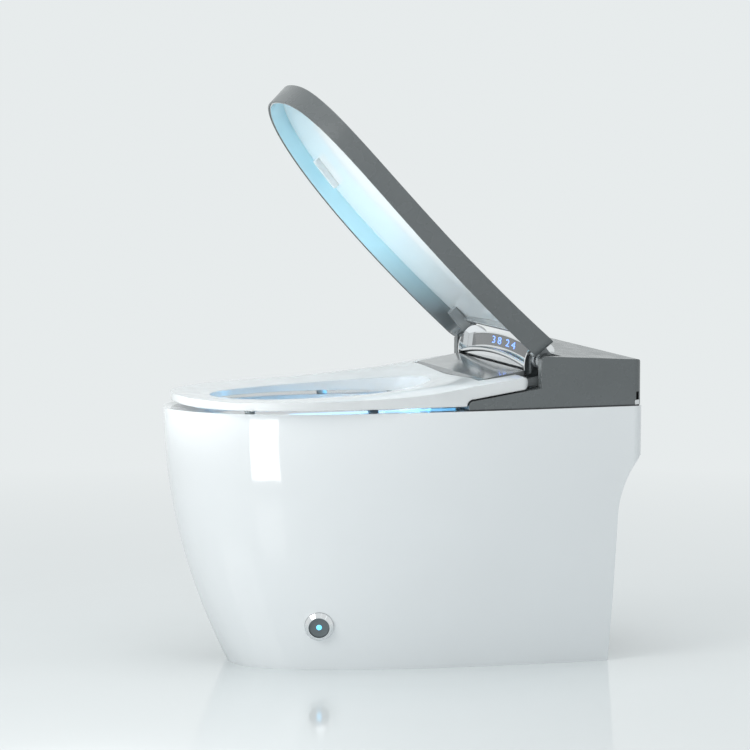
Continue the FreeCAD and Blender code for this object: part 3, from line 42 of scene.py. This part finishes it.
# Node helpers
class Finish:
    """A material made of nodes, with the few steps that the finishes here share."""

    def __init__(self, name):
        self.material = bpy.data.materials.new(name)
        self.material.use_nodes = True
        tree = self.material.node_tree
        self.nodes = tree.nodes
        self.links = tree.links
        self.shader = self.nodes["Principled BSDF"]
        texture_space = self.nodes.new("ShaderNodeTexCoord").outputs
        self.coords = texture_space["Object"]
        self.normals = texture_space["Normal"]
        self.edge = None

    def set(self, **values):
        """Sets shader sockets; an underscore stands for a space in a socket's name."""
        for name, value in values.items():
            self.shader.inputs[name.replace("_", " ")].default_value = value
        return self

    def noise(self, scale, detail=3.0, stretch=(1, 1, 1)):
        """Soft noise over the surface, finer with a larger scale."""
        placed = self.nodes.new("ShaderNodeMapping")
        placed.inputs["Scale"].default_value = stretch
        self.links.new(self.coords, placed.inputs["Vector"])
        texture = self.nodes.new("ShaderNodeTexNoise")
        texture.inputs["Scale"].default_value = scale
        texture.inputs["Detail"].default_value = detail
        self.links.new(placed.outputs["Vector"], texture.inputs["Vector"])
        return texture.outputs["Fac"]

    def mix(self, factor, low, high):
        """A colour between two others, each given as a colour or as a link."""
        mixer = self.nodes.new("ShaderNodeMix")
        mixer.data_type = "RGBA"
        self.links.new(factor, mixer.inputs["Factor"])
        for socket, value in (("A", low), ("B", high)):
            target = next(item for item in mixer.inputs if item.name == socket and item.type == "RGBA")
            if isinstance(value, bpy.types.NodeSocket):
                self.links.new(value, target)
            else:
                target.default_value = (*value, 1)
        return next(item for item in mixer.outputs if item.type == "RGBA")

    def spread(self, factor, low, high, start=0.35, stop=0.65):
        """A value stretched from one range to another."""
        stretch = self.nodes.new("ShaderNodeMapRange")
        for name, value in (("From Min", start), ("From Max", stop), ("To Min", low), ("To Max", high)):
            stretch.inputs[name].default_value = value
        self.links.new(factor, stretch.inputs["Value"])
        return stretch.outputs["Result"]

    def tint(self, color, change=0.03, scale=6):
        """A base colour that drifts a little over the surface."""
        low = [part * (1 - change) for part in color]
        high = [min(1, part * (1 + change)) for part in color]
        result = self.mix(self.spread(self.noise(scale), 0, 1), low, high)
        self.links.new(result, self.shader.inputs["Base Color"])
        return self

    def gloss(self, low, high, scale=30):
        """Roughness that varies between two values."""
        self.links.new(self.spread(self.noise(scale), low, high), self.shader.inputs["Roughness"])
        return self

    def height(self):
        """Height of the surface point at rest, in metres."""
        parts = self.nodes.new("ShaderNodeSeparateXYZ")
        self.links.new(self.coords, parts.inputs["Vector"])
        return parts.outputs["Z"]

    def facing(self, direction):
        """How squarely the surface lies to a direction, from 0 along it to 1 across it."""
        along = self.nodes.new("ShaderNodeVectorMath")
        along.operation = "DOT_PRODUCT"
        along.inputs[1].default_value = direction
        self.links.new(self.normals, along.inputs[0])
        amount = self.nodes.new("ShaderNodeMath")
        amount.operation = "ABSOLUTE"
        self.links.new(along.outputs["Value"], amount.inputs[0])
        return amount.outputs["Value"]

    def soften(self, radius):
        """Edges that catch the light as if rounded to a radius in metres."""
        self.edge = self.nodes.new("ShaderNodeBevel")
        self.edge.inputs["Radius"].default_value = radius
        return self

    def bump(self, scale, depth, detail=2.0, stretch=(1, 1, 1)):
        """A fine relief, with its depth in metres."""
        relief = self.nodes.new("ShaderNodeBump")
        if self.edge:
            self.links.new(self.edge.outputs["Normal"], relief.inputs["Normal"])
        relief.inputs["Distance"].default_value = depth
        relief.inputs["Strength"].default_value = 1
        self.links.new(self.noise(scale, detail, stretch), relief.inputs["Height"])
        self.links.new(relief.outputs["Normal"], self.shader.inputs["Normal"])
        return self


# Finishes, one for each material slot of the record
def glazed(name, color):
    """Glazed ceramic with a slight waviness."""
    finish = Finish(name).tint(color, 0.012, 3).gloss(0.05, 0.10, 9).bump(45, 0.00003)
    return finish.set(IOR=1.52, Coat_Weight=0.6, Coat_Roughness=0.03)


def plastic(name, rough, coat):
    """Moulded plastic before it gets its colour."""
    finish = Finish(name).soften(0.002).gloss(*rough, 40).bump(900, 0.000012)
    return finish.set(IOR=1.49, Coat_Weight=coat, Coat_Roughness=0.08)


def moulded(name, color, rough=(0.16, 0.24), coat=0.4):
    """Moulded plastic of one colour."""
    return plastic(name, rough, coat).tint(color, 0.04, 14)


LID_OPEN = math.radians(50.6)
LID_INWARD = (0, -math.sin(LID_OPEN), -math.cos(LID_OPEN))
# Painted shade on the lid liner's panel: darker towards the hinge, white towards the tip, over a span
# of height
PANEL_PAINTED_SHADE = (0.78, 0.83, 0.86)
PANEL_WHITE = (0.86, 0.92, 0.94)
PANEL_DRIFT = (0.70, 0.78, 0.80)
PANEL_SHADE_SPAN = (0.46, 0.54)
# Painted light on the lid liner's walls: painted grey shade towards the hinge and painted blue bowl
# light towards the tip, over a span of height; the last pair sets how far a surface turns before it
# counts as wall
WALL_PAINTED_SHADE = (0.17, 0.19, 0.20)
WALL_PAINTED_BLUE_LIGHT = (0.52, 0.85, 0.98)
WALL_LIGHT_SPAN = (0.50, 0.61)
WALL_TURN = (0.35, 0.85)


def liner_with_painted_light(name):
    """The lid's white liner with painted light: painted shade on the panel towards the hinge, painted
    bluish light from the bowl on the walls around it, and painted grey shade on those walls towards the
    hinge.
    """
    finish = plastic(name, (0.05, 0.09), 0.8)
    # Painted shade on the panel, darker towards the hinge
    panel_painted_shade = finish.mix(finish.spread(finish.height(), 0, 1, *PANEL_SHADE_SPAN), PANEL_PAINTED_SHADE, PANEL_WHITE)
    drift = finish.mix(finish.spread(finish.noise(14), 0, 0.06), panel_painted_shade, PANEL_DRIFT)
    # Painted blue bowl light on the walls, fading to painted grey shade towards the hinge
    wall_painted_light = finish.mix(finish.spread(finish.height(), 0, 1, *WALL_LIGHT_SPAN), WALL_PAINTED_SHADE, WALL_PAINTED_BLUE_LIGHT)
    sideways = finish.spread(finish.facing(LID_INWARD), 1, 0, *WALL_TURN)
    finish.links.new(finish.mix(sideways, drift, wall_painted_light), finish.shader.inputs["Base Color"])
    return finish


def satin(name, color):
    """Plain plastic with a fine matt grain."""
    return Finish(name).tint(color, 0.08, 25).gloss(0.42, 0.58, 60).bump(1400, 0.00003).set(IOR=1.47)


def plated(name, color):
    """Bright plated metal."""
    return Finish(name).tint(color, 0.02, 8).gloss(0.05, 0.11, 25).bump(60, 0.000008).set(Metallic=1.0)


def brushed(name, color):
    """Metal with fine lines along X."""
    finish = Finish(name).tint(color, 0.06, 90).gloss(0.24, 0.36, 120)
    return finish.bump(500, 0.00001, stretch=(1, 12, 12)).set(Metallic=1.0)


def elastic(name, color):
    """Dull rubber."""
    return Finish(name).tint(color, 0.10, 40).gloss(0.62, 0.78, 80).bump(2200, 0.00005)


def glowing(name, color, strength):
    """A small lit surface."""
    finish = Finish(name).tint(color, 0.06, 300).gloss(0.2, 0.3, 200)
    return finish.set(Emission_Color=(*color, 1), Emission_Strength=strength)


FINISHES = {
    "ceramic": glazed("glazed_ceramic", (0.79, 0.815, 0.83)),
    "housing_grey": moulded("housing_grey", (0.120, 0.132, 0.136), (0.22, 0.32), 0.1),
    "apron_grey": moulded("apron_grey", (0.16, 0.17, 0.175), (0.14, 0.22), 0.6),
    "liner_white": liner_with_painted_light("liner_white"),
    "arm_grey": moulded("arm_grey", (0.24, 0.26, 0.27)),
    "seat_white": moulded("seat_white", (0.72, 0.74, 0.75), (0.14, 0.22), 0.25),
    "chrome": plated("chrome", (0.80, 0.81, 0.82)),
    "display_black": moulded("display_black", (0.012, 0.014, 0.018), (0.04, 0.08), 1.0),
    "button_grey": satin("button_grey", (0.14, 0.165, 0.175)),
    "blue_light": glowing("blue_light", (0.15, 0.58, 0.95), 1.2),
    "soft_rubber": elastic("soft_rubber", (0.06, 0.062, 0.066)),
    "pale_rubber": elastic("pale_rubber", (0.74, 0.80, 0.82)),
    "steel": brushed("steel", (0.55, 0.55, 0.56)),
    "tray_black": satin("tray_black", (0.04, 0.04, 0.043)),
    "inner_white": satin("inner_white", (0.62, 0.63, 0.64)),
    "nozzle_white": moulded("nozzle_white", (0.75, 0.77, 0.78)),
    "board_green": satin("board_green", (0.03, 0.16, 0.07)),
    "brass": brushed("brass", (0.66, 0.47, 0.2)),
    "foil": brushed("foil", (0.62, 0.42, 0.28)),
}
for part in frame["record"]["subparts"]:
    NODES[part["node"]].material_slots[0].material = FINISHES[part["material_slot"]].material


# Digits on the display window, along its arch and in its slanted plane
WINDOW_LOW = Vector((0, 0.185, 0.462))
WINDOW_TOP = Vector((0, 0.188, 0.484))
ARCH_RADIUS = 0.931
DIGITS = (("3", -0.028), ("8", -0.002), ("2", 0.034), ("4", 0.060))
DIGIT_HEIGHT = 0.0155
DIGIT_STRETCH = 2.2
DIGIT_LIFT = 0.0060
DIGIT_PROUD = 0.0001
DIGIT_DEPTH = 0.00006
digit_finish = glowing("digit_blue", (0.14, 0.28, 1.0), 1.7)
window_across = Vector((1, 0, 0))
window_up = (WINDOW_TOP - WINDOW_LOW).normalized()
window_out = window_across.cross(window_up)
window_turn = Matrix((window_across, window_up, window_out)).transposed().to_4x4()
arch_centre = Vector((0, 0, WINDOW_TOP.z - ARCH_RADIUS))
digit_spot = WINDOW_LOW + window_up * DIGIT_LIFT + window_out * DIGIT_PROUD
in_window = Matrix.Translation(digit_spot - arch_centre) @ window_turn
stretch = Matrix.Diagonal((DIGIT_STRETCH, 1, 1, 1))
for index, (number, across) in enumerate(DIGITS):
    text = bpy.data.curves.new(f"digit_{index}", "FONT")
    text.body = number
    text.size = DIGIT_HEIGHT
    text.align_x = "CENTER"
    text.extrude = DIGIT_DEPTH
    text.materials.append(digit_finish.material)
    digit = bpy.data.objects.new(f"display_digit_{index}", text)
    bpy.context.scene.collection.objects.link(digit)
    along_arch = Matrix.Translation(arch_centre) @ Matrix.Rotation(across / ARCH_RADIUS, 4, "Y")
    digit.matrix_world = along_arch @ in_window @ stretch
    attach(digit, BODY)


# Floor, pale near the part and the backdrop's own colour from a few metres away
FLOOR_SIZE = 60
FLOOR_COLOR = (0.70, 0.74, 0.75)
BACKDROP = (0.80, 0.835, 0.84)
HAZE_REACH = (0.3, 2.4)
bpy.ops.mesh.primitive_plane_add(size=FLOOR_SIZE)
floor = bpy.context.object
floor.name = "floor"
paving = Finish("pale_floor").tint(FLOOR_COLOR, 0.015, 1.5).gloss(0.06, 0.11, 4).set(IOR=1.45)
distance = paving.nodes.new("ShaderNodeVectorMath")
distance.operation = "LENGTH"
paving.links.new(paving.coords, distance.inputs[0])
reach = paving.spread(distance.outputs["Value"], 0, 1, *HAZE_REACH)
haze = paving.nodes.new("ShaderNodeEmission")
haze.inputs["Color"].default_value = (*BACKDROP, 1)
blend = paving.nodes.new("ShaderNodeMixShader")
paving.links.new(reach, blend.inputs["Fac"])
paving.links.new(paving.shader.outputs["BSDF"], blend.inputs[1])
paving.links.new(haze.outputs["Emission"], blend.inputs[2])
paving.links.new(blend.outputs["Shader"], paving.nodes["Material Output"].inputs["Surface"])
floor.data.materials.append(paving.material)


# Lights
def area_light(name, spot, aim, size, power, color=(1, 1, 1), spread=180):
    """A rectangular lamp at a spot, turned to a point, with its spread in degrees."""
    lamp = bpy.data.lights.new(name, "AREA")
    lamp.shape = "RECTANGLE"
    lamp.size, lamp.size_y = size
    lamp.energy = power
    lamp.color = color
    lamp.spread = math.radians(spread)
    holder = bpy.data.objects.new(name, lamp)
    holder.location = spot
    holder.rotation_euler = (Vector(aim) - Vector(spot)).to_track_quat("-Z", "Y").to_euler()
    bpy.context.scene.collection.objects.link(holder)


MIDDLE = (0, 0, 0.35)
PALE_BLUE = (0.16, 0.52, 0.92)
BOWL_BLUE = (0.16, 0.58, 1.0)
area_light("key", (1.2, -2.6, 2.0), MIDDLE, (1.6, 1.6), 42, (1.0, 0.99, 0.97))
area_light("top", (0.3, 0.2, 3.0), MIDDLE, (2.5, 2.5), 38)
area_light("side", (3.2, 1.2, 1.6), MIDDLE, (1.5, 2.0), 3, (0.95, 0.98, 1.0))
area_light("window", (0.864, -0.732, 0.163), (0.135, -0.233, 0.335), (0.26, 0.22), 0.9)
area_light("lid_fill", (0.15, -0.75, 0.50), (0, 0.10, 0.60), (0.2, 0.2), 0.34, (0.94, 0.99, 1.0), 46)
area_light("gap_glow", (0.125, -0.06, 0.3915), (0.20, -0.06, 0.3925), (0.26, 0.004), 0.0045, PALE_BLUE)
area_light("bowl_glow", (-0.06, 0.066, 0.394), (0.02, -0.2, 0.30), (0.06, 0.006), 0.7, BOWL_BLUE)

# Room light, with the plain backdrop for what the camera, a mirror or glass sees of it
ROOM_COLOR = (0.86, 0.91, 0.93)
ROOM_STRENGTH = 0.53
world = bpy.data.worlds.new("studio")
bpy.context.scene.world = world
world.use_nodes = True
sky_nodes = world.node_tree.nodes
sky_links = world.node_tree.links


def either(one, other):
    """1 where one of two ray kinds is 1."""
    larger = sky_nodes.new("ShaderNodeMath")
    larger.operation = "MAXIMUM"
    sky_links.new(one, larger.inputs[0])
    sky_links.new(other, larger.inputs[1])
    return larger.outputs["Value"]


room = sky_nodes["Background"]
room.inputs["Color"].default_value = (*ROOM_COLOR, 1)
room.inputs["Strength"].default_value = ROOM_STRENGTH
backdrop = sky_nodes.new("ShaderNodeBackground")
backdrop.inputs["Color"].default_value = (*BACKDROP, 1)
rays = sky_nodes.new("ShaderNodeLightPath").outputs
seen = either(rays["Is Camera Ray"], either(rays["Is Glossy Ray"], rays["Is Transmission Ray"]))
choice = sky_nodes.new("ShaderNodeMixShader")
sky_links.new(seen, choice.inputs["Fac"])
sky_links.new(room.outputs["Background"], choice.inputs[1])
sky_links.new(backdrop.outputs["Background"], choice.inputs[2])
sky_links.new(choice.outputs["Shader"], sky_nodes["World Output"].inputs["Surface"])

# Camera from the least-squares fit to the photograph
CAMERA_SPOT = Vector((6.18332, -2.07588, 1.07624))
YAW = math.radians(18.43)
PITCH = math.radians(5.69)
FOCAL_LENGTH = 207.26
SENSOR_WIDTH = 36
FAR_END = 100
lens = bpy.data.cameras.new("photo_camera")
lens.lens = FOCAL_LENGTH
lens.sensor_width = SENSOR_WIDTH
lens.sensor_fit = "HORIZONTAL"
lens.clip_end = FAR_END
camera = bpy.data.objects.new("photo_camera", lens)
camera.location = CAMERA_SPOT
forward = Vector((-math.cos(YAW) * math.cos(PITCH), math.sin(YAW) * math.cos(PITCH), -math.sin(PITCH)))
camera.rotation_euler = forward.to_track_quat("-Z", "Y").to_euler()
bpy.context.scene.collection.objects.link(camera)
bpy.context.scene.camera = camera
bpy.context.scene.view_settings.view_transform = "Standard"
